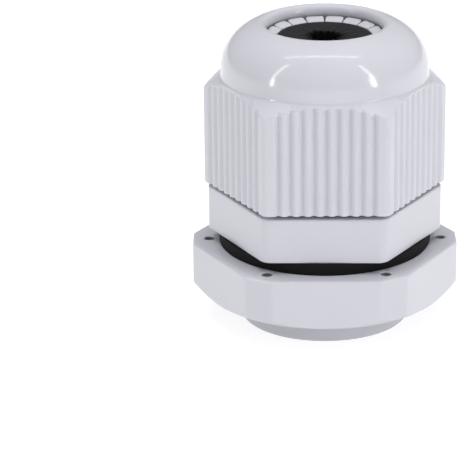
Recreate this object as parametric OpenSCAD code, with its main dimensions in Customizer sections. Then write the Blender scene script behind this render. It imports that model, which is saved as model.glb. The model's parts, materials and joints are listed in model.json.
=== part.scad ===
// Nylon cable gland with its locknut: +Z up along the axis, origin at the centre of the plain entry end.

/* [Threads] */
// Outside diameter of both body threads
thread_d = 20.4; // [20.2:0.1:20.6]
// Pitch of both threads, 18 turns to the inch
thread_pitch = 1.41; // [1.38:0.01:1.44]
// Depth of the body threads
thread_depth = 0.65; // [0.6:0.05:0.7]

/* [Body] */
// Height of the entry end, from its lower edge to the flange
entry_h = 10.6; // [10:0.1:12]
// Outside diameter of the plain lead below the entry thread
lead_d = 19.6; // [19.2:0.1:19.6]
// Width of the hexagonal flange across its flats
flange_af = 24; // [23.5:0.1:24.5]
// Height of the hexagonal flange
flange_h = 5.25; // [4.5:0.05:6]
// Bore of the entry end, where the cable comes in
entry_bore_d = 14.4; // [13.4:0.1:14.6]

/* [Cap nut] */
// Width of the cap nut across its flats
cap_af = 24.5; // [24.3:0.1:24.8]
// Gap between the flange and the tightened cap nut
cap_gap = 0.45; // [0.3:0.05:1]
// Height of the cap nut
cap_h = 19.36; // [19.2:0.02:19.6]
// Diameter of the cap nut's mouth
mouth_d = 13.26; // [13.2:0.02:13.4]
// Grip grooves on each flat
groove_count = 9; // [5:1:9]
// Distance between grip grooves
groove_pitch = 1.35; // [1.2:0.01:1.4]
// Turn of the tightened cap nut past the flange's flats, degrees
cap_clock = 0.9; // [-5:0.1:5]

/* [Clamping fingers and seal] */
// Number of clamping fingers
finger_count = 17; // [14:1:17]
// Thickness of a finger
finger_t = 1.3; // [1.2:0.05:1.3]
// Width of a finger on its inner side
finger_w = 1.93; // [1.6:0.01:1.94]
// Width of a finger on its outer side
finger_outer_w = 2.24; // [2:0.01:2.26]
// Lean of the closed fingers towards the axis, degrees
finger_lean = 15.75; // [15.5:0.05:16]
// Diameter of the seal's throat, closed on the smallest cable
throat_d = 6; // [5:0.1:7]

/* [Washer and locknut] */
// Thickness of the sealing washer
washer_t = 1.4; // [1:0.1:2]
// Outside diameter of the sealing washer
washer_d = 24.84; // [24:0.02:25]
// Width of the locknut across its flats
locknut_af = 28.6; // [28:0.1:29]
// Distance across the locknut's cut corners
locknut_corner_af = 31.2; // [30.6:0.1:31.4]
// Height of the locknut
locknut_h = 5.85; // [5:0.05:6]
// Turn of the locknut past the flange's flats, degrees
locknut_clock = 1; // [-5:0.1:5]

/* [Hidden] */
$fn = 96;
eps = 0.01;

function finger_name(i) = str("clamp_finger_", i < 10 ? "0" : "", i);

// Colours
nylon = [0.83, 0.83, 0.86];
rubber = [0.10, 0.10, 0.11];

// Threads: trapezoid ridges with 80 degree flanks, drawn as helices of short straight stretches
steps_per_turn = 24;
thread_r = thread_d / 2;
root_r = thread_r - thread_depth;
flank_tan = tan(40);
crest_half = 0.06;
nut_groove_r = thread_r + 0.1;
nut_crest_r = lead_d / 2 + 0.07;
nut_crest_half = 0.22;
run_out_steps = 4;

// Body levels
flange_top = entry_h + flange_h;
barrel_top = 24.5;
barrel_bore_r = 8.05;
lead_h = 3.4;
lead_chamfer = 0.15;
seat_z = 14.2;
entry_thread_z = 4;
entry_thread_turns = 4.25;
barrel_thread_z = 16.9;
barrel_thread_turns = 4.75;
flange_corner_r = 1.6;

// Clamping fingers
hinge_r = 8.6;
hinge_z = 25.2;
finger_len = 9.4;
finger_corner_r = 0.45;
finger_tip_cut = 0.12;
finger_phase = 15.8;

// Cap nut levels
cap_z = flange_top + cap_gap;
cap_top = cap_z + cap_h;
cap_corner_r = 1;
dome_r = 12.05;
dome_z = cap_top - 6.06;
shoulder_slope = 0.82;
lip_r = 0.8;
finger_cone_r = 6.8;
finger_cone_z = cap_top - 1.21;
groove_r = 0.4;
cap_thread_turns = 4.5;

// Washer and locknut levels
washer_z = entry_h - washer_t;
locknut_z = washer_z - locknut_h;
locknut_thread_turns = 2.6;

// Hexagon with round corners, two flats facing -Y and +Y
module rounded_hex(af, corner_r, h) {
  inset = (af / 2 - corner_r) / cos(30);
  function polar(r, a) = r * [cos(a), sin(a)];
  linear_extrude(h) {
    polygon([for (k = [0:5]) for (side = [-30, 30]) polar(inset, 60 * k) + polar(corner_r, 60 * k + side)]);
    for (k = [0:5]) rotate(60 * k) translate([inset, 0]) circle(corner_r);
  }
}

// Helical ridge from base_r, inside the wall, out or in to crest_r; it starts at height z0 at angle 0
module helix_ridge(turns, base_r, crest_r, base_half, top_half, z0) {
  last = round(turns * steps_per_turn);
  function rise(i) = 0.05 + 0.95 * min(1, min(i, last - i) / run_out_steps);
  function section(i) = let(r = base_r + (crest_r - base_r) * rise(i))
    [[base_r, -base_half], [r, -top_half], [r, top_half], [base_r, base_half]];
  function place(p, i) = let(a = 360 * i / steps_per_turn)
    [p[0] * cos(a), p[0] * sin(a), p[1] + z0 + thread_pitch * i / steps_per_turn];
  points = [for (i = [0:last]) for (p = section(i)) place(p, i)];
  outward = concat([[3, 2, 1, 0]],
    [for (i = [0:last - 1]) for (j = [0:3]) let(a = 4 * i + j, b = 4 * i + (j + 1) % 4)
      each [[a, b, b + 4], [a, b + 4, a + 4]]],
    [[4 * last, 4 * last + 1, 4 * last + 2, 4 * last + 3]]);
  inward = [for (f = outward) [for (k = [len(f) - 1:-1:0]) f[k]]];
  polyhedron(points, crest_r > base_r ? outward : inward);
}

// Outside thread on the body's walls
module outside_thread(turns, z0) {
  base = root_r - 0.1;
  helix_ridge(turns, base, thread_r, crest_half + (thread_r - base) * flank_tan, crest_half, z0);
}

// Inside thread half a pitch on, so its ridge runs in the middle of the outside thread's groove
module inside_thread(turns, z0) {
  base = nut_groove_r + 0.12;
  chord = cos(180 / steps_per_turn);
  helix_ridge(turns, base / chord, nut_crest_r / chord,
    nut_crest_half + (base - nut_crest_r) * flank_tan, nut_crest_half, z0 + thread_pitch / 2);
}

module gland_body() {
  lead_r = lead_d / 2;
  color(nylon) {
    difference() {
      union() {
        rotate_extrude() polygon([[0, 0], [lead_r - lead_chamfer, 0], [lead_r, lead_chamfer], [lead_r, lead_h],
          [root_r, lead_h + 0.25], [root_r, barrel_top - 0.3], [root_r - 0.3, barrel_top], [0, barrel_top]]);
        translate([0, 0, entry_h]) rounded_hex(flange_af, flange_corner_r, flange_h);
        outside_thread(entry_thread_turns, entry_thread_z);
        outside_thread(barrel_thread_turns, barrel_thread_z);
      }
      body_bores();
    }
  }
}

// Way through the body: a round lead-in, the entry bore, the seal's seat and the barrel's bore
module body_bores() {
  entry_r = entry_bore_d / 2;
  translate([0, 0, -eps]) cylinder(r1 = entry_r + 0.4, r2 = entry_r, h = 0.4);
  translate([0, 0, -eps]) cylinder(r = entry_r, h = barrel_top);
  translate([0, 0, seat_z]) cylinder(r = barrel_bore_r, h = barrel_top);
}

// Wedge-shaped section of a finger, wider on its outer side, with round outer corners
module finger_section() {
  half_t = finger_t / 2;
  flare = (finger_outer_w - finger_w) / 2;
  side_normal = [-flare, finger_t] / norm([flare, finger_t]);
  corner = [half_t - finger_corner_r,
    finger_outer_w / 2 - finger_corner_r * (1 - side_normal[0]) / side_normal[1]];
  side_end = corner + finger_corner_r * side_normal;
  polygon([[-half_t, -finger_w / 2], [side_end[0], -side_end[1]], [half_t, -corner[1]], [half_t, corner[1]],
    side_end, [-half_t, finger_w / 2]]);
  for (side = [-1, 1]) translate([corner[0], side * corner[1]]) circle(finger_corner_r, $fn = 48);
}

// One clamping finger, closed: a wedge-shaped bar with a round root on its bending line
module clamp_finger(i) {
  half_t = finger_t / 2;
  color(nylon) rotate([0, 0, finger_phase + 360 / finger_count * (i - 1)])
    translate([hinge_r, 0, hinge_z]) rotate([0, -finger_lean, 0]) difference() {
      union() {
        rotate([90, 0, 0]) cylinder(r = half_t, h = finger_w, center = true, $fn = 48);
        linear_extrude(finger_len) finger_section();
      }
      translate([half_t - finger_tip_cut, -finger_w, finger_len]) rotate([0, 45, 0])
        cube([2 * finger_t, 2 * finger_w, finger_t]);
    }
}

// Rubber sleeve squeezed shut at its top by the closed fingers
module seal() {
  throat_r = throat_d / 2;
  color(rubber) rotate_extrude() polygon([[6.5, seat_z], [7.6, seat_z], [7.8, seat_z + 0.2], [7.8, 21.5],
    [7.45, 25.2], [7.3, 26.8], [5.32, 33.95], [5.15, 34.12], [4.9, 34.1], [throat_r + 0.3, 33.9],
    [throat_r, 33.65], [throat_r, 31.4], [6.3, 23.5], [6.3, seat_z + 0.2]]);
}

// Grip groove cutters of one flat: each stops just under the sloping shoulder
module flat_grooves() {
  flat = cap_af / 2;
  land = 0.12;
  for (k = [0:groove_count - 1]) {
    x = (k - (groove_count - 1) / 2) * groove_pitch;
    shoulder_z = dome_z - (norm([abs(x) + groove_r, flat]) - dome_r) * shoulder_slope;
    translate([x, -flat, cap_z - 1]) cylinder(r = groove_r, h = shoulder_z - land - cap_z + 1, $fn = 32);
  }
}

// Dome outline from the shoulder up to the mouth: a quarter ellipse, then the round of the lip
function dome_outline() =
  let(semi_r = 5.75, semi_z = 5.29, lip_x = mouth_d / 2 + lip_r)
  concat([[dome_r, dome_z]],
    [for (a = [0:7.5:75]) [dome_r - 0.05 - semi_r * (1 - cos(a)), dome_z + 0.9 + semi_z * sin(a)]],
    [for (a = [80:20:180]) [lip_x + lip_r * cos(a), cap_top - lip_r + lip_r * sin(a)]]);

module cap_nut() {
  corner_r = 14.2;
  color(nylon) rotate([0, 0, cap_clock]) {
    difference() {
      union() {
        intersection() {
          translate([0, 0, cap_z]) rounded_hex(cap_af, cap_corner_r, dome_z - cap_z);
          rotate_extrude() polygon([[0, cap_z - 1], [corner_r, cap_z - 1],
            [corner_r, dome_z - (corner_r - dome_r) * shoulder_slope], [dome_r, dome_z], [0, dome_z]]);
        }
        rotate_extrude() polygon(concat([[0, dome_z - 1], [dome_r - eps, dome_z - 1]], dome_outline(),
          [[0, cap_top - lip_r]]));
      }
      rotate_extrude() polygon(cap_hollow());
      for (side = [0:5]) rotate([0, 0, 60 * side]) flat_grooves();
    }
    rotate([0, 0, -cap_clock]) inside_thread(cap_thread_turns, barrel_thread_z);
  }
}

// Hollow of the cap nut: thread wall, then the cone that closes the fingers, then the mouth
function cap_hollow() = [[0, cap_z - 1], [nut_groove_r + 0.45, cap_z - 1], [nut_groove_r + 0.45, cap_z],
  [nut_groove_r, cap_z + 0.45], [nut_groove_r, 29.2], [9.55, 30.3], [finger_cone_r, finger_cone_z],
  [finger_cone_r, finger_cone_z + 0.05], [mouth_d / 2, finger_cone_z + 0.2], [mouth_d / 2, cap_top + 1],
  [0, cap_top + 1]];

module sealing_washer() {
  color(rubber) translate([0, 0, washer_z]) difference() {
    cylinder(d = washer_d, h = washer_t);
    translate([0, 0, -1]) cylinder(r = thread_r + 0.1, h = washer_t + 2);
  }
}

// Twelve-sided locknut outline: a hexagon whose corners are cut square
module locknut_block() {
  intersection() {
    cylinder(d = locknut_af / cos(30), h = locknut_h, $fn = 6);
    rotate(30) cylinder(d = locknut_corner_af / cos(30), h = locknut_h, $fn = 6);
    rotate_extrude() polygon([[0, 0], [locknut_af / 2, 0], [locknut_af / 2 + 3, 1.95],
      [locknut_af / 2 + 3, locknut_h], [0, locknut_h]]);
  }
}

// Cutters that break the top edge of every side
module locknut_top_edges() {
  cut = 0.35;
  for (k = [0:11]) {
    side = (k % 2 == 0 ? locknut_corner_af : locknut_af) / 2;
    rotate([0, 0, 30 * k]) translate([side - cut, -10, locknut_h]) rotate([0, 45, 0]) cube([3, 20, 1]);
  }
}

module locknut() {
  hole_circle_r = 13.57;
  hole_depth = 2;
  bore_h = locknut_h + 2;
  color(nylon) {
    rotate([0, 0, locknut_clock]) translate([0, 0, locknut_z]) difference() {
      locknut_block();
      locknut_top_edges();
      translate([0, 0, -1]) cylinder(r = nut_groove_r, h = bore_h);
      for (end = [0, 1]) translate([0, 0, end * locknut_h]) mirror([0, 0, end])
        translate([0, 0, -eps]) cylinder(r1 = nut_groove_r + 0.4, r2 = nut_groove_r, h = 0.4);
      for (k = [0:5]) rotate([0, 0, 60 * k]) translate([hole_circle_r, 0, locknut_h - hole_depth])
        cylinder(d = 1.2, h = hole_depth + 1, $fn = 32);
    }
    inside_thread(locknut_thread_turns, entry_thread_z);
  }
}

gland_body();
for (i = [1:finger_count]) clamp_finger(i);
seal();
cap_nut();
sealing_washer();
locknut();
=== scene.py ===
"""Looks of the cable gland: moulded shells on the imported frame, plain studio light and the camera."""
import json
import math

import bpy
from mathutils import Matrix, Vector


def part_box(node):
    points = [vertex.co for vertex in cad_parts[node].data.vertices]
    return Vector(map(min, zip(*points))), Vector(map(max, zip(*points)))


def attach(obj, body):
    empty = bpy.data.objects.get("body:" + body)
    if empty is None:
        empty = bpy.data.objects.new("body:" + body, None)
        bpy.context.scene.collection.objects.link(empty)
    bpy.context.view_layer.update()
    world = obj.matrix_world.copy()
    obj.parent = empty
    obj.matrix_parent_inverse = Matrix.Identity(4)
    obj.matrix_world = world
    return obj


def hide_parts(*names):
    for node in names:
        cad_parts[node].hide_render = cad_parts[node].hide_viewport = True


MM = 0.001
TAU = 2 * math.pi

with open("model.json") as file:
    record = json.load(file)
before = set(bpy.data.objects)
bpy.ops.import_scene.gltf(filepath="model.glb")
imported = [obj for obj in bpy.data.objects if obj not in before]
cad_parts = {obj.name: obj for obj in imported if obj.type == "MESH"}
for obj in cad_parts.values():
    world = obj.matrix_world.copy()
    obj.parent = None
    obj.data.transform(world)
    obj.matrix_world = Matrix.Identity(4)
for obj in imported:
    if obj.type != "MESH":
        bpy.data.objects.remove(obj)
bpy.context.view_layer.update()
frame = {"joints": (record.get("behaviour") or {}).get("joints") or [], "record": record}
mounts = {m["name"]: m for m in frame["record"]["mounts"]}


def levels(node):
    """Lowest and highest z of a CAD node, in millimetres."""
    low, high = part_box(node)
    return low.z / MM, high.z / MM


def mount_radius(name):
    """Radius of a mount, in millimetres."""
    return mounts[name]["dims"]["r_mm"]


# ---------------------------------------------------------------- sizes, in millimetres
THREAD_R = mount_radius("entry_thread")
PITCH = 1.41
THREAD_DEPTH = 0.65
ROOT_R = THREAD_R - THREAD_DEPTH
LEAD_R = mount_radius("entry_lead")
ENTRY_BORE_R = mount_radius("cable_entry")
THROAT_R = mount_radius("cable_throat")
FLANK_TAN = math.tan(math.radians(40))
NUT_GROOVE_R = THREAD_R + 0.1
NUT_CREST_R = LEAD_R + 0.07
OUTSIDE_CREST, INSIDE_CREST = 0.06, 0.22  # half widths of the ridges' flat crests
FINE_STEP, COARSE_STEP = PITCH / 14, PITCH / 8  # row heights on threads

BODY_Z, BARREL_TOP = levels("gland_body")
CAP_Z, CAP_TOP = levels("cap_nut")
NUT_Z, NUT_TOP = levels("locknut")
WASHER_Z, FLANGE_Z = levels("sealing_washer")
SEAL_Z, SEAL_TOP = levels("seal")
FLANGE_AF = 2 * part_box("gland_body")[1].y / MM
FLANGE_GAP = 0.45
FLANGE_TOP = CAP_Z - FLANGE_GAP
FLANGE_CORNER_R = 1.6
WASHER_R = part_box("sealing_washer")[1].x / MM
LEAD_TOP = 3.4
LEAD_FILLET = 0.15
BARREL_BORE_R = 8.05
# threads: (height where the ridge starts, turns); a nut's ridge runs between the body's
ENTRY_THREAD = (4.0, 4.25)
BARREL_THREAD = (16.9, 4.75)
CAP_THREAD = (BARREL_THREAD[0] + PITCH / 2, 4.5)
NUT_THREAD = (ENTRY_THREAD[0] + PITCH / 2, 2.6)

CAP_AF = 24.5
CAP_CORNER_R = 0.8
CAP_CLOCK = math.radians(0.9)
CAP_EDGE = 0.15
CAP_THREAD_TOP = 25.6
DOME_R = 12.05
DOME_Z = CAP_TOP - 6.06
DOME_SEMI_R, DOME_SEMI_Z = 5.75, 5.29  # half axes of the dome's ellipse
DOME_NECK = 0.9  # nearly upright wall under the ellipse
SHOULDER_SLOPE = 0.82
MOUTH_R = 6.63
LIP = 0.8
FINGER_CONE = (6.8, CAP_TOP - 1.21)  # (radius, height) where the cone that presses the fingers in starts
GROOVES = 9
GROOVE_PITCH = 1.35
GROOVE_DEPTH = 0.37
GROOVE_HALF = 0.39 * GROOVE_PITCH
GROOVE_RUNOUT = 0.8  # height under the shoulder's edge over which a groove grows shallow
SHOULDER_SHARE = 0.6  # of a groove's depth that is left at the shoulder's edge
SHOULDER_FILLET, CREASE_FILLET = 0.5, 0.3

NUT_AF = 28.6
NUT_CORNER_AF = 31.0
NUT_CORNER_R = 1.0
NUT_CLOCK = math.radians(1)
NUT_CONE_SLOPE = 0.65
NUT_EDGE = 0.24
NUT_HOLE_ANGLES = [NUT_CLOCK + math.radians(60 * k) for k in range(6)]
NUT_HOLE_CIRCLE = 13.57
NUT_HOLE_R = 0.6
NUT_HOLE_DEPTH = 2.0

FINGERS = [j for j in frame["joints"] if j["name"].startswith("finger_")]
FINGER_T = 1.3
FINGER_W = 1.93
FINGER_OUTER_W = 2.24
FINGER_LEN = 9.4
FINGER_LEAN = math.radians(15.75)
FINGER_TIP = 0.12

SEAL_WALL_R = 7.8
SEAL_BORE_R = 6.3
SEAL_RIM_R = 4.9
SEAL_LIP = 0.12
SEAL_SAG = 0.16
SEAL_PLEAT = 0.1


# ---------------------------------------------------------------- shape helpers
def round_corners(corners, steps=4):
    """Outline of (r, z) points from corners (r, z, fillet radius): each corner becomes an arc."""
    out = []
    count = len(corners)
    for i, (x, z, radius) in enumerate(corners):
        if radius <= 0:
            out.append((x, z))
            continue
        here = Vector((x, z))
        a = (Vector(corners[i - 1][:2]) - here).normalized()
        b = (Vector(corners[(i + 1) % count][:2]) - here).normalized()
        half = a.angle(b) / 2
        reach = radius / math.tan(half)
        centre = here + (a + b).normalized() * radius / math.sin(half)
        first, last = here + a * reach - centre, here + b * reach - centre
        turn = first.angle_signed(last)
        for k in range(steps + 1):
            p = centre + Matrix.Rotation(-turn * k / steps, 2) @ first
            out.append((p.x, p.y))
    return out


def quarter(radius, steps):
    """A quarter round as pairs of gaps from its square corner: the first shrinks to 0, the second grows."""
    angles = [math.radians(90 * k / steps) for k in range(steps + 1)]
    return [(radius * (1 - math.sin(a)), radius * (1 - math.cos(a))) for a in angles]


def arc_perimeter(sides, corner_r, flat_steps, arc_steps):
    """Stations (x, y, normal x, normal y, place along the flat, is it on a flat) round a convex outline.

    sides is a list of (angle, distance) of its flats, in order; corners are rounded to corner_r.
    """
    out = []
    count = len(sides)
    ends = []
    for k in range(count):
        a0, d0 = sides[k]
        a1, d1 = sides[(k + 1) % count]
        turn = (a1 - a0) % TAU
        reach = ((d1 - corner_r) - (d0 - corner_r) * math.cos(turn)) / math.sin(turn)
        n0, t0 = Vector((math.cos(a0), math.sin(a0))), Vector((-math.sin(a0), math.cos(a0)))
        ends.append((n0 * (d0 - corner_r) + t0 * reach, reach, turn))
    for k in range(count):
        angle, distance = sides[k]
        n, t = Vector((math.cos(angle), math.sin(angle))), Vector((-math.sin(angle), math.cos(angle)))
        start = (ends[k - 1][0] - n * (distance - corner_r)).dot(t)
        stop = ends[k][1]
        for i in range(flat_steps):
            along = start + (stop - start) * i / flat_steps
            p = n * distance + t * along
            out.append((p.x, p.y, n.x, n.y, along, True))
        centre, _, turn = ends[k]
        for i in range(arc_steps):
            a = angle + turn * i / arc_steps
            out.append((centre.x + corner_r * math.cos(a), centre.y + corner_r * math.sin(a),
                        math.cos(a), math.sin(a), 0.0, False))
    return out


def circle_stations(count):
    """Unit vectors (x, y) round a circle."""
    return [(math.cos(TAU * i / count), math.sin(TAU * i / count)) for i in range(count)]


def ring_mesh(name, columns):
    """Closed ring-shaped mesh: every column is a closed loop of (x, y, z) in millimetres."""
    rows = len(columns[0])
    assert all(len(column) == rows for column in columns), name
    verts = [(x * MM, y * MM, z * MM) for column in columns for x, y, z in column]
    faces = []
    for i in range(len(columns)):
        a, b = i * rows, (i + 1) % len(columns) * rows
        for j in range(rows):
            k = (j + 1) % rows
            faces.append((a + j, b + j, b + k, a + k))
    return finish_mesh(name, verts, faces)


def finish_mesh(name, verts, faces):
    """A smooth-shaded object in the scene from points in metres."""
    mesh = bpy.data.meshes.new(name)
    mesh.from_pydata(verts, [], faces)
    mesh.validate()
    mesh.shade_smooth()
    obj = bpy.data.objects.new(name, mesh)
    bpy.context.scene.collection.objects.link(obj)
    return obj


def smooth(t):
    """Soft step from 0 to 1 as t goes from 0 to 1."""
    t = min(1.0, max(0.0, t))
    return t * t * (3 - 2 * t)


def ridge_height(z, angle, thread, base_half, top_half):
    """How far a helical ridge has risen at a wall point: 0 beside it, 1 on its crest, fading at both ends."""
    start, turns = thread
    lead = start + PITCH * (angle % TAU) / TAU
    turn = round((z - lead) / PITCH)
    off = abs(z - lead - turn * PITCH)
    along = turn + (angle % TAU) / TAU
    ends = smooth(min(along, turns - along) * 6)
    return ends * smooth((base_half - off) / (base_half - top_half))


def outside_wall(z, angle, thread):
    """Radius of the body's wall, with the thread's ridge on it."""
    base_half = OUTSIDE_CREST + (THREAD_R - ROOT_R) * FLANK_TAN
    return ROOT_R + (THREAD_R - ROOT_R) * ridge_height(z, angle, thread, base_half, OUTSIDE_CREST)


def inside_wall(z, angle, thread):
    """Radius of a nut's inner wall, with the thread's ridge on it."""
    height = NUT_GROOVE_R - NUT_CREST_R
    base_half = INSIDE_CREST + height * FLANK_TAN
    return NUT_GROOVE_R - height * ridge_height(z, angle, thread, base_half, INSIDE_CREST)


def evenly(first, last, count):
    """count + 1 values from first to last."""
    return [first + (last - first) * i / count for i in range(count + 1)]


def spaced(first, last, step):
    """Values from first to last, about a step apart."""
    return evenly(first, last, max(1, round(abs(last - first) / step)))


def hexagon(af, clock=0.0):
    """The (angle, distance) of a hexagon's flats from its size across them."""
    return [(clock + math.radians(30 + 60 * k), af / 2) for k in range(6)]


# ---------------------------------------------------------------- materials
# noise scales of the nylon: wide tone mottle, gloss flow marks, fine moulded skin
MOTTLE_SCALE, FLOW_SCALE, SKIN_SCALE = 140, 420, 1400
MOTTLE_DARK = 0.985
GLOSS_SWING = 0.02
UNDER_NUT_SHADE = 0.83  # share of its tone that nylon keeps where shade under the locknut is painted on


def nylon(name, tint, roughness):
    """Light grey moulded nylon: faint mottle, soft depth, satin gloss with a fine moulded skin."""
    mat = bpy.data.materials.new(name)
    mat.use_nodes = True
    nodes, links = mat.node_tree.nodes, mat.node_tree.links
    shader = nodes["Principled BSDF"]
    place = nodes.new("ShaderNodeTexCoord")

    mottle = nodes.new("ShaderNodeTexNoise")
    mottle.inputs["Scale"].default_value = MOTTLE_SCALE
    mottle.inputs["Detail"].default_value = 4
    links.new(place.outputs["Object"], mottle.inputs["Vector"])
    tones = nodes.new("ShaderNodeValToRGB")
    tones.color_ramp.elements[0].position = 0.3
    tones.color_ramp.elements[1].position = 0.7
    tones.color_ramp.elements[0].color = (*[c * MOTTLE_DARK for c in tint], 1)
    tones.color_ramp.elements[1].color = (*tint, 1)
    links.new(mottle.outputs["Fac"], tones.inputs["Fac"])
    links.new(tones.outputs["Color"], shader.inputs["Base Color"])

    flow = nodes.new("ShaderNodeTexNoise")
    flow.inputs["Scale"].default_value = FLOW_SCALE
    flow.inputs["Detail"].default_value = 3
    links.new(place.outputs["Object"], flow.inputs["Vector"])
    gloss = nodes.new("ShaderNodeMapRange")
    gloss.inputs["To Min"].default_value = roughness - GLOSS_SWING
    gloss.inputs["To Max"].default_value = roughness + GLOSS_SWING
    links.new(flow.outputs["Fac"], gloss.inputs["Value"])
    links.new(gloss.outputs["Result"], shader.inputs["Roughness"])

    skin = nodes.new("ShaderNodeTexNoise")
    skin.inputs["Scale"].default_value = SKIN_SCALE
    skin.inputs["Detail"].default_value = 2
    links.new(place.outputs["Object"], skin.inputs["Vector"])
    bump = nodes.new("ShaderNodeBump")
    bump.inputs["Strength"].default_value = 0.025
    bump.inputs["Distance"].default_value = 0.00004
    links.new(skin.outputs["Fac"], bump.inputs["Height"])
    links.new(bump.outputs["Normal"], shader.inputs["Normal"])

    shader.inputs["IOR"].default_value = 1.5
    shader.inputs["Subsurface Weight"].default_value = 0.12
    shader.inputs["Subsurface Radius"].default_value = (1.0, 0.95, 0.9)
    shader.inputs["Subsurface Scale"].default_value = 0.0008
    return mat


def paint_shade_below(mat, level, share):
    """Greys a material below a level: painted shade on the plain lead, which stands in the shadow of the
    locknut's overhang.
    """
    nodes, links = mat.node_tree.nodes, mat.node_tree.links
    colour = nodes["Principled BSDF"].inputs["Base Color"]
    place = nodes.new("ShaderNodeTexCoord")
    split = nodes.new("ShaderNodeSeparateXYZ")
    links.new(place.outputs["Object"], split.inputs["Vector"])
    fade = nodes.new("ShaderNodeMapRange")
    fade.inputs["From Min"].default_value = level * MM
    fade.inputs["From Max"].default_value = (level + 0.3) * MM
    fade.inputs["To Min"].default_value = share
    fade.inputs["To Max"].default_value = 1.0
    links.new(split.outputs["Z"], fade.inputs["Value"])
    scale = nodes.new("ShaderNodeVectorMath")
    scale.operation = "SCALE"
    links.new(colour.links[0].from_socket, scale.inputs[0])
    links.new(fade.outputs["Result"], scale.inputs["Scale"])
    links.new(scale.outputs["Vector"], colour)


def rubber(name, tone, roughness, grain_scale):
    """Black rubber with a dull grain and a little dust in its tone."""
    mat = bpy.data.materials.new(name)
    mat.use_nodes = True
    nodes, links = mat.node_tree.nodes, mat.node_tree.links
    shader = nodes["Principled BSDF"]
    place = nodes.new("ShaderNodeTexCoord")
    grain = nodes.new("ShaderNodeTexNoise")
    grain.inputs["Scale"].default_value = grain_scale
    grain.inputs["Detail"].default_value = 5
    links.new(place.outputs["Object"], grain.inputs["Vector"])
    tones = nodes.new("ShaderNodeValToRGB")
    tones.color_ramp.elements[0].color = (tone * 0.7, tone * 0.7, tone * 0.74, 1)
    tones.color_ramp.elements[1].color = (tone * 1.35, tone * 1.35, tone * 1.4, 1)
    links.new(grain.outputs["Fac"], tones.inputs["Fac"])
    links.new(tones.outputs["Color"], shader.inputs["Base Color"])
    dull = nodes.new("ShaderNodeMapRange")
    dull.inputs["To Min"].default_value = roughness - 0.08
    dull.inputs["To Max"].default_value = roughness + 0.12
    links.new(grain.outputs["Fac"], dull.inputs["Value"])
    links.new(dull.outputs["Result"], shader.inputs["Roughness"])
    bump = nodes.new("ShaderNodeBump")
    bump.inputs["Strength"].default_value = 0.25
    bump.inputs["Distance"].default_value = 0.00008
    links.new(grain.outputs["Fac"], bump.inputs["Height"])
    links.new(bump.outputs["Normal"], shader.inputs["Normal"])
    shader.inputs["Specular IOR Level"].default_value = 0.12
    return mat


NYLON_TINT = (0.585, 0.585, 0.642)
body_nylon = nylon("body_nylon", NYLON_TINT, 0.26)
cap_nylon = nylon("cap_nylon", NYLON_TINT, 0.12)
grip_nylon = nylon("grip_nylon", NYLON_TINT, 0.3)
# painted shade: the plain lead is darkened for the shadow under the locknut's overhang
paint_shade_below(body_nylon, LEAD_TOP, UNDER_NUT_SHADE)
nut_nylon = nylon("nut_nylon", NYLON_TINT, 0.2)
# painted shade: the locknut's downward faces are darker for the shade beneath it
underside_shade_nylon = nylon("underside_shade_nylon", [UNDER_NUT_SHADE * c for c in NYLON_TINT], 0.6)
# painted shade: dark nylon for the shade inside the locknut's small holes
hole_shade_nylon = nylon("hole_shade_nylon", (0.16, 0.16, 0.17), 0.5)
finger_nylon = nylon("finger_nylon", (0.55, 0.55, 0.59), 0.4)
seal_rubber = rubber("seal_rubber", 0.02, 0.62, 900)
washer_rubber = rubber("washer_rubber", 0.006, 0.6, 1300)


def dress(obj, material, body, node):
    """Gives a piece its material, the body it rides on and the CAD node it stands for."""
    obj.data.materials.append(material)
    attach(obj, body)
    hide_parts(node)
    return obj


# ---------------------------------------------------------------- cap nut
def groove_depth(along):
    """Depth of the grip grooves across a flat: round-bottomed grooves with softened ridges between them."""
    reach = (GROOVES - 1) / 2 * GROOVE_PITCH
    nearest = min(max(round((along + reach) / GROOVE_PITCH), 0), GROOVES - 1) * GROOVE_PITCH - reach
    t = abs(along - nearest) / GROOVE_HALF
    return GROOVE_DEPTH * (0.5 + 0.5 * math.cos(math.pi * t)) ** 0.8 if t < 1 else 0.0


def dome_outline():
    """From the shoulder's crease up a quarter ellipse to the lip and down into the mouth."""
    taper = 0.05
    out = [(DOME_R - 0.02, DOME_Z + DOME_NECK / 3), (DOME_R - 0.04, DOME_Z + DOME_NECK * 2 / 3)]
    sweep, steps = math.radians(76.4), 26
    for k in range(steps + 1):
        a = sweep * k / steps
        out.append((DOME_R - taper - DOME_SEMI_R * (1 - math.cos(a)),
                    DOME_Z + DOME_NECK + DOME_SEMI_Z * math.sin(a)))
    first, last, steps = 78.5, 180.0, 14
    for k in range(steps + 1):
        a = math.radians(first + (last - first) * k / steps)
        out.append((MOUTH_R + LIP + LIP * math.cos(a), CAP_TOP - LIP + LIP * math.sin(a)))
    return out


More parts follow.
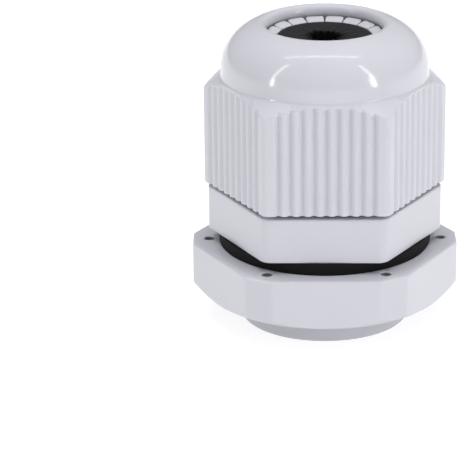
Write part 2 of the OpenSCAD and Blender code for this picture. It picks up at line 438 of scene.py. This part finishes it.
def cap_column(station):
    """One closed outline of the cap nut, up its outside and down its inside."""
    x, y, nx, ny, along, on_flat = station
    depth = groove_depth(along) if on_flat else 0.0
    # a groove runs out through the shoulder's edge, but never into the dome
    land = 0.1
    dome_y = math.sqrt((DOME_R + land) ** 2 - min(abs(along), DOME_R) ** 2)
    top_depth = SHOULDER_SHARE * min(depth, CAP_AF / 2 - dome_y) if on_flat else 0.0
    reach = math.hypot(x - nx * top_depth, y - ny * top_depth)
    ux, uy = (x - nx * top_depth) / reach, (y - ny * top_depth) / reach
    angle = math.atan2(uy, ux)
    shoulder_z = DOME_Z - (reach - DOME_R) * SHOULDER_SLOPE
    column = []

    def wall(inset, z):
        column.append((x - nx * inset, y - ny * inset, z))

    def lathe(r, z):
        column.append((ux * r, uy * r, z))

    for inset, rise in quarter(CAP_EDGE, 4):
        wall(depth + inset, CAP_Z + rise)
    runout_z = shoulder_z - GROOVE_RUNOUT
    for z in evenly(CAP_Z + 1.2, runout_z, 5):
        wall(depth, z)
    for t in evenly(0, 1, 6)[1:]:
        wall(top_depth + (depth - top_depth) * math.sqrt(1 - t * t), runout_z + 0.5 * t)
    # the shoulder's outer edge is rounded and its crease under the dome hollowed, less where it is narrow
    width = math.hypot(1, SHOULDER_SLOPE) * (reach - DOME_R)
    below, above = (reach, shoulder_z - 3, 0), (DOME_R, DOME_Z + 3, 0)
    for r, z in round_corners([below, (reach, shoulder_z, min(SHOULDER_FILLET, 1.27 * width)),
                               (DOME_R, DOME_Z, min(CREASE_FILLET, 0.63 * width)), above], 6)[1:-1]:
        lathe(r, z)
    for r, z in dome_outline():
        lathe(r, z)
    # down inside: the mouth, the cone that presses the fingers in, and the nut's thread
    cone_r, cone_z = FINGER_CONE
    for r, z in [(MOUTH_R, cone_z + 0.22), (cone_r - 0.02, cone_z + 0.06), (cone_r, cone_z), (8.2, 32.35),
                 (9.55, 30.3), (NUT_GROOVE_R, 29.2), (NUT_GROOVE_R, 27.5)]:
        lathe(r, z)
    for z in spaced(CAP_THREAD_TOP, CAP_Z + 0.45, COARSE_STEP):
        lathe(inside_wall(z, angle, CAP_THREAD), z)
    lathe(NUT_GROOVE_R + 0.43, CAP_Z + 0.02)
    lathe(NUT_GROOVE_R + 0.48, CAP_Z)
    return column


def make_cap_nut():
    stations = arc_perimeter(hexagon(CAP_AF, CAP_CLOCK), CAP_CORNER_R, 110, 10)
    return ring_mesh("cap_nut_shell", [cap_column(s) for s in stations])


def dull_fluting(nut):
    """Only the dome is polished: the fluted walls and the shoulder, where fingers grip, are duller."""
    nut.data.materials.append(grip_nylon)
    for face in nut.data.polygons:
        if face.center.z < (DOME_Z - 0.25) * MM:
            face.material_index = 1


dull_fluting(dress(make_cap_nut(), cap_nylon, "cap_nut", "cap_nut"))


# ---------------------------------------------------------------- gland body
def body_column(station):
    """One closed outline of the gland body, up its outside and down its bore."""
    x, y, nx, ny, _, _ = station
    reach = math.hypot(x, y)
    ux, uy = x / reach, y / reach
    angle = math.atan2(y, x)
    column = []

    def lathe(r, z):
        column.append((ux * r, uy * r, z))

    lathe(ENTRY_BORE_R + 0.4, BODY_Z)
    lead_foot = [(LEAD_R - 1, BODY_Z, 0), (LEAD_R, BODY_Z, LEAD_FILLET), (LEAD_R, BODY_Z + 2, 0)]
    for r, z in round_corners(lead_foot, 6)[1:-1]:
        lathe(r, z)
    for z in spaced(BODY_Z + 0.9, LEAD_TOP, 0.8):
        lathe(LEAD_R, z)
    for z in spaced(LEAD_TOP + 0.25, FLANGE_Z - 0.12, FINE_STEP):
        lathe(outside_wall(z, angle, ENTRY_THREAD), z)
    lathe(ROOT_R + 0.1, FLANGE_Z)
    lathe(WASHER_R - 1.5, FLANGE_Z)
    lower_edge, upper_edge = 0.07, 0.2
    for inset, rise in quarter(lower_edge, 4):
        column.append((x - nx * inset, y - ny * inset, FLANGE_Z + rise))
    for z in spaced(FLANGE_Z + 0.8, FLANGE_TOP - 0.8, 1.2):
        column.append((x, y, z))
    for drop, inset in quarter(upper_edge, 5):
        column.append((x - nx * inset, y - ny * inset, FLANGE_TOP - drop))
    lathe(ROOT_R + 1.2, FLANGE_TOP)
    lathe(ROOT_R + 0.12, FLANGE_TOP)
    for z in spaced(FLANGE_TOP + 0.12, BARREL_TOP - 0.3, FINE_STEP):
        lathe(outside_wall(z, angle, BARREL_THREAD), z)
    lathe(ROOT_R - 0.1, BARREL_TOP - 0.08)
    lathe(ROOT_R - 0.3, BARREL_TOP)
    lathe(BARREL_BORE_R + 0.08, BARREL_TOP)
    lathe(BARREL_BORE_R, BARREL_TOP - 0.08)
    for z in spaced(BARREL_TOP - 1, SEAL_Z, 2.5):
        lathe(BARREL_BORE_R, z)
    lathe(ENTRY_BORE_R, SEAL_Z)
    for z in spaced(SEAL_Z - 0.3, BODY_Z + 0.4, 3.4):
        lathe(ENTRY_BORE_R, z)
    return column


def make_gland_body():
    stations = arc_perimeter(hexagon(FLANGE_AF), FLANGE_CORNER_R, 26, 12)
    return ring_mesh("gland_body_shell", [body_column(s) for s in stations])


dress(make_gland_body(), body_nylon, "gland_body", "gland_body")


# ---------------------------------------------------------------- clamping fingers
def finger_section(half_t, inner_half, outer_half, outer_r, inner_r):
    """Outline of a finger's wedge-shaped bar, (outward, sideways), anticlockwise."""
    return round_corners([(half_t, outer_half, outer_r), (-half_t, inner_half, inner_r),
                          (-half_t, -inner_half, inner_r), (half_t, -outer_half, outer_r)], 5)


def make_finger(joint, number):
    """A closed finger: round root on its bending line, bar, and a softly rounded tip cut back outside."""
    half_t = FINGER_T / 2
    root_turns = [math.radians(a) for a in evenly(-75, 0, 5)]
    rows = [(half_t * math.sin(a), half_t * math.cos(a), 0.0) for a in root_turns]
    rows += [(z, half_t, 0.0) for z in spaced(1.0, FINGER_LEN - 0.7, 2.4)]
    rows += [(FINGER_LEN - drop, half_t - inset, inset) for drop, inset in quarter(FINGER_TIP, 5)]
    verts, faces = [], []
    size = 0
    for z, t, inset in rows:
        thickest = t - 0.02
        outer_r = max(0.04, min(0.42 - inset, thickest))
        inner_r = min(0.1, thickest)
        loop = finger_section(t, FINGER_W / 2 - inset, FINGER_OUTER_W / 2 - inset, outer_r, inner_r)
        size = len(loop)
        verts += [(px, py, z) for px, py in loop]
    for i in range(len(rows) - 1):
        for j in range(size):
            k = (j + 1) % size
            faces.append((i * size + j, i * size + k, (i + 1) * size + k, (i + 1) * size + j))
    faces.append(tuple(reversed(range(size))))
    faces.append(tuple(range((len(rows) - 1) * size, len(rows) * size)))
    hinge, across = Vector(joint["pos_m"]), Vector(joint["axis"])
    outward = Vector((across.y, -across.x, 0))
    lean = Matrix.Rotation(-FINGER_LEAN, 4, across)
    turn = Matrix((outward, across, Vector((0, 0, 1)))).transposed().to_4x4()
    place = Matrix.Translation(hinge) @ lean @ turn
    return finish_mesh(f"finger_bar_{number:02d}", [place @ (Vector(v) * MM) for v in verts], faces)


for number, joint in enumerate(FINGERS, 1):
    body = joint["child"]
    node = frame["record"]["behaviour"]["bodies"][body][0]
    dress(make_finger(joint, number), finger_nylon, body, node)


# ---------------------------------------------------------------- seal
FINGER_ANGLE = math.atan2(FINGERS[0]["pos_m"][1], FINGERS[0]["pos_m"][0])


def seal_column(direction):
    """One closed outline of the seal: its top is gathered into a fold under every finger."""
    ux, uy = direction
    angle = math.atan2(uy, ux)
    fold = abs(math.cos((angle - FINGER_ANGLE) * len(FINGERS) / 2))
    column = []

    def lathe(r, z):
        column.append((ux * r, uy * r, z))

    rim_z = SEAL_TOP - 0.03
    outside = round_corners([
        (6.5, SEAL_Z, 0), (SEAL_WALL_R, SEAL_Z, 0.25), (SEAL_WALL_R, 21.5, 1.0), (7.4, 25.6, 1.0),
        (7.2, 27.1, 1.0), (5.34, SEAL_TOP - 0.05, 0.14), (SEAL_RIM_R, rim_z, 0.0)], 4)
    for r, z in outside:
        lathe(r, z)
    # the hole's edge: folded in and out under the fingers, and a little uneven
    uneven = 0.12 * math.sin(3 * angle + 1) + 0.09 * math.sin(7 * angle)
    gathered = THROAT_R - 1.3 + 0.75 * fold + uneven
    for t in evenly(0, 1, 14)[1:]:
        crease = SEAL_PLEAT * (1 - fold) * smooth((t - 0.5) / 0.4)
        lathe(SEAL_RIM_R + (gathered + SEAL_LIP - SEAL_RIM_R) * t, rim_z - SEAL_SAG * t ** 1.6 + crease)
    lip_z = rim_z - SEAL_SAG + SEAL_PLEAT * (1 - fold)
    for out, drop in quarter(SEAL_LIP, 4)[1:]:
        lathe(gathered + out, lip_z - drop)
    throat_h = 2.4
    for t in evenly(0, 1, 6)[1:]:
        lathe(gathered + (THROAT_R - gathered) * t, lip_z - SEAL_LIP - throat_h * t)
    # down inside: the narrow throat opens into the wide lower part
    for r, z in [(4.6, 27.4), (SEAL_BORE_R, 23.5), (SEAL_BORE_R, 19.0), (SEAL_BORE_R, SEAL_Z + 0.3)]:
        lathe(r, z)
    return column


def make_seal():
    return ring_mesh("seal_sleeve", [seal_column(d) for d in circle_stations(len(FINGERS) * 16)])


dress(make_seal(), seal_rubber, "seal", "seal")


# ---------------------------------------------------------------- sealing washer
def make_washer():
    """Flat rubber ring, a little bulged where the flange and the locknut squeeze it."""
    inner, bulge, edge = THREAD_R + 0.1, 0.04, 0.1
    middle_z = (WASHER_Z + FLANGE_Z) / 2
    outline = round_corners([
        (inner, WASHER_Z, edge), (WASHER_R - bulge, WASHER_Z, edge), (WASHER_R, middle_z, 0.0),
        (WASHER_R - bulge, FLANGE_Z, edge), (inner, FLANGE_Z, edge)], 5)
    columns = [[(ux * r, uy * r, z) for r, z in outline] for ux, uy in circle_stations(192)]
    return ring_mesh("washer_ring", columns)


dress(make_washer(), washer_rubber, "sealing_washer", "sealing_washer")


# ---------------------------------------------------------------- locknut
def nut_column(station):
    """One closed outline of the locknut: coned below, rounded above, threaded inside."""
    x, y, nx, ny, _, _ = station
    reach = math.hypot(x, y)
    ux, uy = x / reach, y / reach
    angle = math.atan2(y, x)
    face_r = NUT_AF / 2 - 0.25
    column = []

    def lathe(r, z):
        column.append((ux * r, uy * r, z))

    for r in spaced(NUT_GROOVE_R + 0.4, face_r, 1.2):
        lathe(r, NUT_Z)
    cone_z = NUT_Z + (reach - face_r) * NUT_CONE_SLOPE
    for r, z in round_corners([(face_r, NUT_Z, 0), (reach, cone_z, 0.03), (reach, cone_z + 2, 0)], 4)[1:-1]:
        lathe(r, z)
    for z in evenly(cone_z + 0.5, NUT_TOP - 0.7, 4):
        column.append((x, y, z))
    for drop, inset in quarter(NUT_EDGE, 6):
        column.append((x - nx * inset, y - ny * inset, NUT_TOP - drop))
    for r in evenly(reach - 1.0, NUT_GROOVE_R + 0.4, 5):
        lathe(r, NUT_TOP)
    for z in spaced(NUT_TOP - 0.4, NUT_Z + 0.4, FINE_STEP):
        lathe(inside_wall(z, angle, NUT_THREAD), z)
    return column


def hole_cutter(angle):
    """Blind hole with a softly broken rim."""
    rim, above = 0.1, 0.5
    floor_z = NUT_TOP - NUT_HOLE_DEPTH
    outline = [(NUT_HOLE_R - rim, floor_z), (NUT_HOLE_R, floor_z + rim), (NUT_HOLE_R, NUT_TOP - rim),
               (NUT_HOLE_R + 0.04, NUT_TOP - rim * 0.45), (NUT_HOLE_R + rim, NUT_TOP),
               (NUT_HOLE_R + rim, NUT_TOP + above)]
    cx, cy = NUT_HOLE_CIRCLE * math.cos(angle), NUT_HOLE_CIRCLE * math.sin(angle)
    sides = 32
    verts, faces = [], []
    for r, z in outline:
        verts += [((cx + r * c) * MM, (cy + r * s) * MM, z * MM) for c, s in circle_stations(sides)]
    rings = len(outline)
    for i in range(rings - 1):
        for j in range(sides):
            k = (j + 1) % sides
            faces.append((i * sides + j, i * sides + k, (i + 1) * sides + k, (i + 1) * sides + j))
    faces.append(tuple(reversed(range(sides))))
    faces.append(tuple(range((rings - 1) * sides, rings * sides)))
    return finish_mesh("hole_cutter", verts, faces)


def make_locknut():
    """The locknut: a hexagon with cut corners, its holes drilled by boolean cuts."""
    sides = [(NUT_CLOCK + math.radians(30 * k), (NUT_CORNER_AF, NUT_AF)[k % 2] / 2) for k in range(12)]
    nut = ring_mesh("locknut_shell", [nut_column(s) for s in arc_perimeter(sides, NUT_CORNER_R, 14, 8)])
    for angle in NUT_HOLE_ANGLES:
        cutter = hole_cutter(angle)
        cut = nut.modifiers.new("hole", "BOOLEAN")
        cut.operation = "DIFFERENCE"
        cut.solver = "EXACT"
        cut.object = cutter
        bpy.context.view_layer.objects.active = nut
        bpy.ops.object.modifier_apply(modifier=cut.name)
        bpy.data.objects.remove(cutter)
    return nut


def shade_nut(nut):
    """Painted shade: the small holes take a dark nylon for the shade inside them, and the cone below, as dull
    as the plain lead, is painted darker for the shade under the nut.
    """
    nut.data.materials.append(hole_shade_nylon)
    nut.data.materials.append(underside_shade_nylon)
    shaded_hole, shaded_underside = 1, 2
    for face in nut.data.polygons:
        place = face.center / MM
        if face.normal.z < -0.3 and math.hypot(place.x, place.y) > NUT_GROOVE_R:
            face.material_index = shaded_underside
        for a in NUT_HOLE_ANGLES:
            off = math.hypot(place.x - NUT_HOLE_CIRCLE * math.cos(a), place.y - NUT_HOLE_CIRCLE * math.sin(a))
            if off < NUT_HOLE_R + 0.02 and place.z < NUT_TOP - 0.1:
                face.material_index = shaded_hole


shade_nut(dress(make_locknut(), nut_nylon, "locknut", "locknut"))


# ---------------------------------------------------------------- floor, light and camera
ROOM = 0.22
FLOOR_GLOW = 0.76
# name: (bearing from the front, distance, middle's height, width, height, brightness); lengths in metres
STRIPS = {
    "strip_left": (-59, 0.50, 0.36, 0.026, 0.72, 10.0),
    "strip_right": (55, 0.50, 0.34, 0.026, 0.68, 12.0),
    "strip_left_low": (-58, 0.49, 0.10, 0.036, 0.14, 8.0),
    "strip_right_low": (54, 0.49, 0.12, 0.060, 0.20, 9.0),
}
BOXES = {
    "box_right": (75, 0.80, 0.35, 0.60, 0.60, 0.3),
    "box_front": (10, 0.90, 0.70, 0.80, 0.50, 0.75),
}
OVERHEAD_STRIP = 5.0
OVERHEAD_BOX = 2.7


def make_floor():
    """Plain white floor, lit from below like a light table, so that hardly a shadow stays on it."""
    half = 4.0
    corners = [(-half, -half, 0), (half, -half, 0), (half, half, 0), (-half, half, 0)]
    mesh = bpy.data.meshes.new("floor")
    mesh.from_pydata(corners, [], [(0, 1, 2, 3)])
    floor = bpy.data.objects.new("floor", mesh)
    bpy.context.scene.collection.objects.link(floor)
    mat = bpy.data.materials.new("pale_floor")
    mat.use_nodes = True
    shader = mat.node_tree.nodes["Principled BSDF"]
    shader.inputs["Base Color"].default_value = (0.45, 0.45, 0.45, 1)
    shader.inputs["Roughness"].default_value = 0.9
    shader.inputs["Specular IOR Level"].default_value = 0.0
    shader.inputs["Emission Color"].default_value = (1, 1, 1, 1)
    shader.inputs["Emission Strength"].default_value = FLOOR_GLOW
    floor.data.materials.append(mat)


def area_light(name, place, aim, width, height, brightness):
    """A rectangular lamp, as bright seen from the front whatever its size."""
    data = bpy.data.lights.new(name, "AREA")
    data.shape = "RECTANGLE"
    data.size, data.size_y = width, height
    data.energy = brightness * math.pi * width * height
    lamp = bpy.data.objects.new(name, data)
    lamp.location = place
    lamp.rotation_mode = "QUATERNION"
    lamp.rotation_quaternion = (Vector(aim) - Vector(place)).to_track_quat("-Z", "Y")
    bpy.context.scene.collection.objects.link(lamp)
    return lamp


def make_light():
    """A plain room with soft boxes, upright strips at the front corners and one strip overhead.

    Only the strips show in reflections; the soft boxes just light.
    """
    world = bpy.data.worlds.new("studio")
    world.use_nodes = True
    world.node_tree.nodes["Background"].inputs["Color"].default_value = (1, 1, 1, 1)
    world.node_tree.nodes["Background"].inputs["Strength"].default_value = ROOM
    bpy.context.scene.world = world
    for kind, upright in ((STRIPS, True), (BOXES, False)):
        for name, (bearing, away, level, width, height, brightness) in kind.items():
            a = math.radians(bearing)
            place = (away * math.sin(a), -away * math.cos(a), level)
            aim = (0, 0, level if upright else AIM_Z)
            lamp = area_light(name, place, aim, width, height, brightness)
            lamp.visible_glossy = upright
    x, y = -0.025, -0.02
    area_light("strip_overhead", (x, y, 0.52), (x, y, 0), 0.50, 0.035, OVERHEAD_STRIP)
    overhead = area_light("box_overhead", (0, 0.1, 0.90), (0, 0, 0), 0.90, 0.90, OVERHEAD_BOX)
    overhead.visible_glossy = False


CAMERA_RISE = math.radians(19.23)
CAMERA_AWAY = 0.3392
AIM_Z = 0.020
LENS = 222.6
SENSOR = 36.0
# where the aimed point stands in the picture, right of and above its centre, in picture widths
AIM_RIGHT, AIM_UP = 0.1906, 0.1793


def make_camera():
    """A long lens a third of a metre away, turned so that the gland stands off the picture's middle."""
    data = bpy.data.cameras.new("camera")
    data.lens, data.sensor_width = LENS, SENSOR
    data.clip_start, data.clip_end = 0.01, 20
    camera = bpy.data.objects.new("camera", data)
    back = Vector((0, -math.cos(CAMERA_RISE), math.sin(CAMERA_RISE)))
    camera.location = Vector((0, 0, AIM_Z)) + back * CAMERA_AWAY
    off_axis = Vector((AIM_RIGHT * SENSOR, AIM_UP * SENSOR, -LENS))
    camera.rotation_mode = "QUATERNION"
    swing = off_axis.rotation_difference(Vector((0, 0, -1)))
    camera.rotation_quaternion = (-back).to_track_quat("-Z", "Y") @ swing
    bpy.context.scene.collection.objects.link(camera)
    bpy.context.scene.camera = camera


make_floor()
make_light()
make_camera()
bpy.context.scene.view_settings.view_transform = "Standard"
